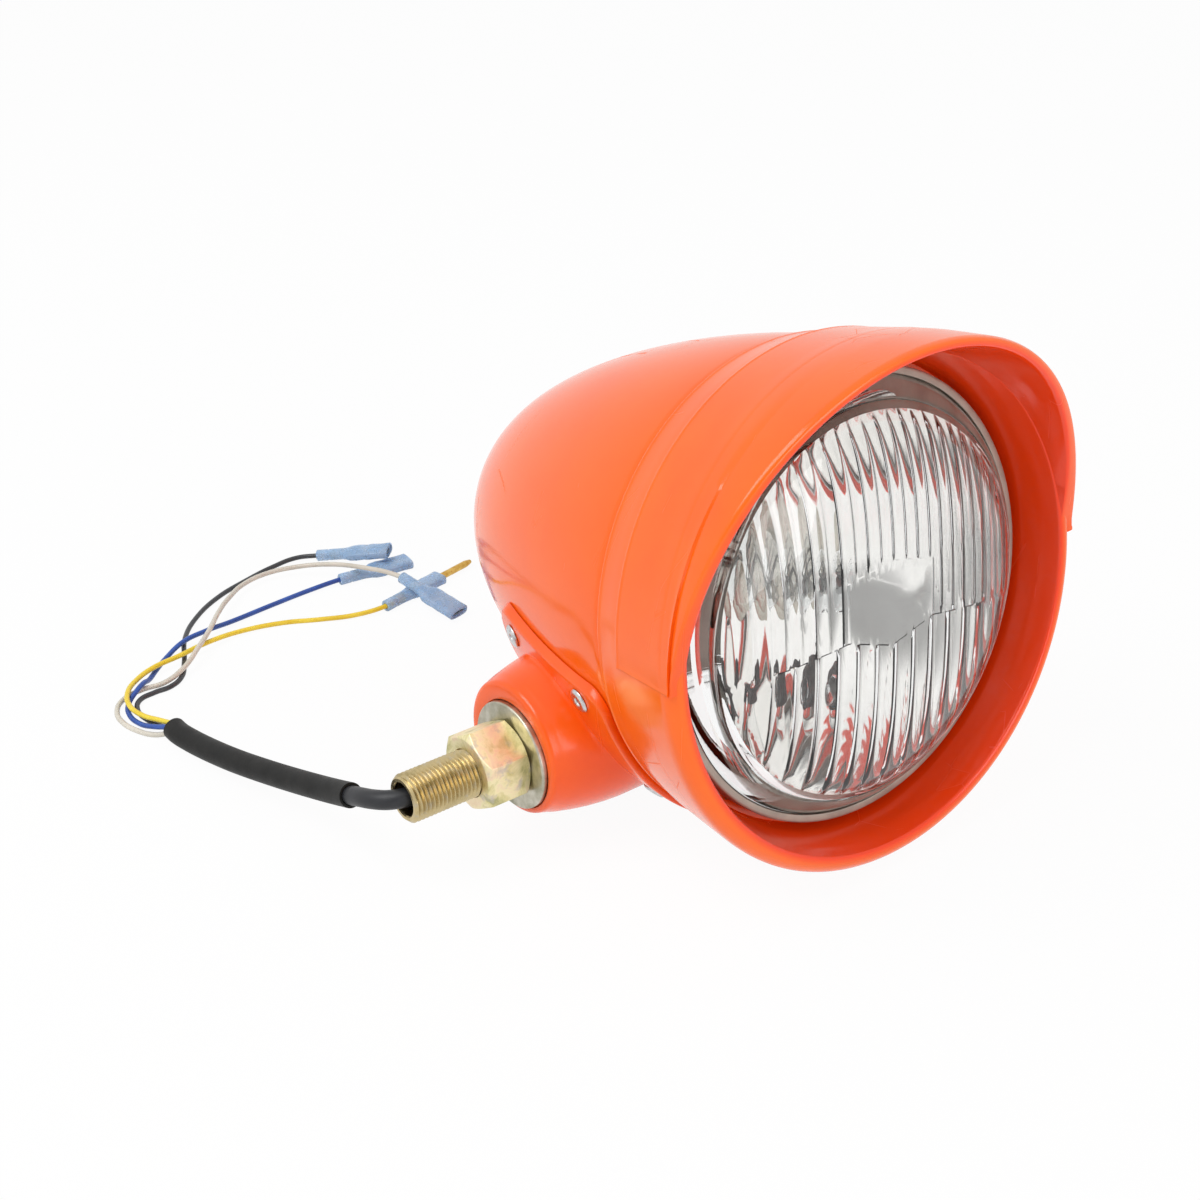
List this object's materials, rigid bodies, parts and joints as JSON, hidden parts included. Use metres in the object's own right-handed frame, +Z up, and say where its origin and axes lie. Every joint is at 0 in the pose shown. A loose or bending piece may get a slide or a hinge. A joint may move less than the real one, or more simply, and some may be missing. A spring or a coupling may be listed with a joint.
{
  "type": "tractor headlight",
  "caption": "Round bullet-shaped work lamp with a visored hood, fluted lens and a hollow side stud that clamps it to a bracket and carries the cable.",
  "frame": {"origin": "on the mounting stud's axis, at the outer clamping face of the large washer", "axes": "stud points along -X, the lens faces mostly -Y with the lamp's nose 9 degrees up, +Z is up"},
  "size_m": [0.2432, 0.2988, 0.1748],
  "materials": {
    "shell_enamel": "glossy orange stove enamel on pressed steel",
    "hood_plastic": "glossy orange moulded plastic",
    "saddle_plastic": "glossy orange moulded plastic",
    "rivet_aluminium": "plain aluminium blind rivets",
    "yellow_zinc": "turned steel, yellow zinc plating",
    "nut_zinc": "steel, iridescent yellow zinc plating",
    "washer_zinc": "steel, dull grey zinc plating",
    "spring_steel": "spring steel",
    "bush_rubber": "black rubber",
    "lens_glass": "pressed clear glass with upright flutes",
    "reflector_metal": "bright metallised bowl with a satin rim",
    "gasket_rubber": "dark rubber",
    "clip_steel": "zinc plated spring steel",
    "clip_rivet_aluminium": "plain aluminium",
    "bulb_cap_metal": "tin plated bulb cap",
    "bulb_clear_glass": "clear glass",
    "filament_metal": "tungsten on nickel posts",
    "shield_metal": "pressed molybdenum cup",
    "contact_tin": "tinned blades",
    "ring_zinc": "bright zinc plated steel",
    "connector_plastic": "black moulded plastic",
    "holder_plastic": "black moulded plastic",
    "parking_glass": "clear glass",
    "parking_cap": "tinned bulb cap",
    "lead_black_pvc": "black PVC insulation",
    "lead_white_pvc": "white PVC insulation",
    "lead_blue_pvc": "blue PVC insulation",
    "lead_yellow_pvc": "yellow PVC insulation",
    "sheath_pvc": "smooth dark grey PVC sheath",
    "sleeve_pvc": "satin black shrunk sleeve",
    "wire_black_pvc": "black PVC insulation",
    "wire_white_pvc": "white PVC insulation",
    "wire_blue_pvc": "blue PVC insulation",
    "wire_yellow_pvc": "yellow PVC insulation",
    "boot_vinyl": "soft translucent blue vinyl",
    "terminal_tin": "tin plated brass",
    "pin_brass": "bright brass"
  },
  "bodies": {
    "root": {"stud": "yellow_zinc", "friction_washer": "spring_steel", "cable_bush": "bush_rubber", "cable_tube": "sheath_pvc", "cable_sleeve": "sleeve_pvc", "wire_black": "wire_black_pvc", "wire_white": "wire_white_pvc", "wire_blue": "wire_blue_pvc", "wire_yellow": "wire_yellow_pvc", "boot_black": "boot_vinyl", "boot_white": "boot_vinyl", "boot_blue": "boot_vinyl", "boot_yellow": "boot_vinyl", "terminal_black": "terminal_tin", "terminal_white": "terminal_tin", "terminal_blue": "terminal_tin", "pin_yellow": "pin_brass"},
    "head": {"rear_shell": "shell_enamel", "front_hood": "hood_plastic", "mount_saddle": "saddle_plastic", "saddle_rivets": "rivet_aluminium", "lens": "lens_glass", "reflector": "reflector_metal", "lens_gasket": "gasket_rubber", "spring_clips": "clip_steel", "clip_rivets": "clip_rivet_aluminium", "bulb_base": "bulb_cap_metal", "bulb_glass": "bulb_clear_glass", "bulb_filaments": "filament_metal", "dip_shield": "shield_metal", "bulb_contacts": "contact_tin", "bulb_ring": "ring_zinc", "bulb_connector": "connector_plastic", "parking_holder": "holder_plastic", "parking_bulb": "parking_glass", "parking_base": "parking_cap", "lead_main": "lead_black_pvc", "lead_dipped": "lead_white_pvc", "lead_earth": "lead_blue_pvc", "lead_parking": "lead_yellow_pvc"},
    "washer": {"stud_washer": "washer_zinc"},
    "nut": {"stud_nut": "nut_zinc"}
  },
  "joints": [
    {"name": "head_swivel", "type": "hinge", "parent": "root", "child": "head", "pos_m": [0, 0, 0], "axis": [1, 0, 0], "range_deg": [-20, 20]},
    {"name": "washer_slide", "type": "slide", "parent": "root", "child": "washer", "axis": [-1, 0, 0], "range_m": [0, 0.012]},
    {"name": "nut_turn", "type": "hinge", "parent": "washer", "child": "nut", "pos_m": [0, 0, 0], "axis": [-1, 0, 0], "range_deg": [0, 2880]}
  ],
  "couplings": [
    {"joint": "washer_slide", "follows": "nut_turn", "m_per_rad": 0.00023873}
  ]
}
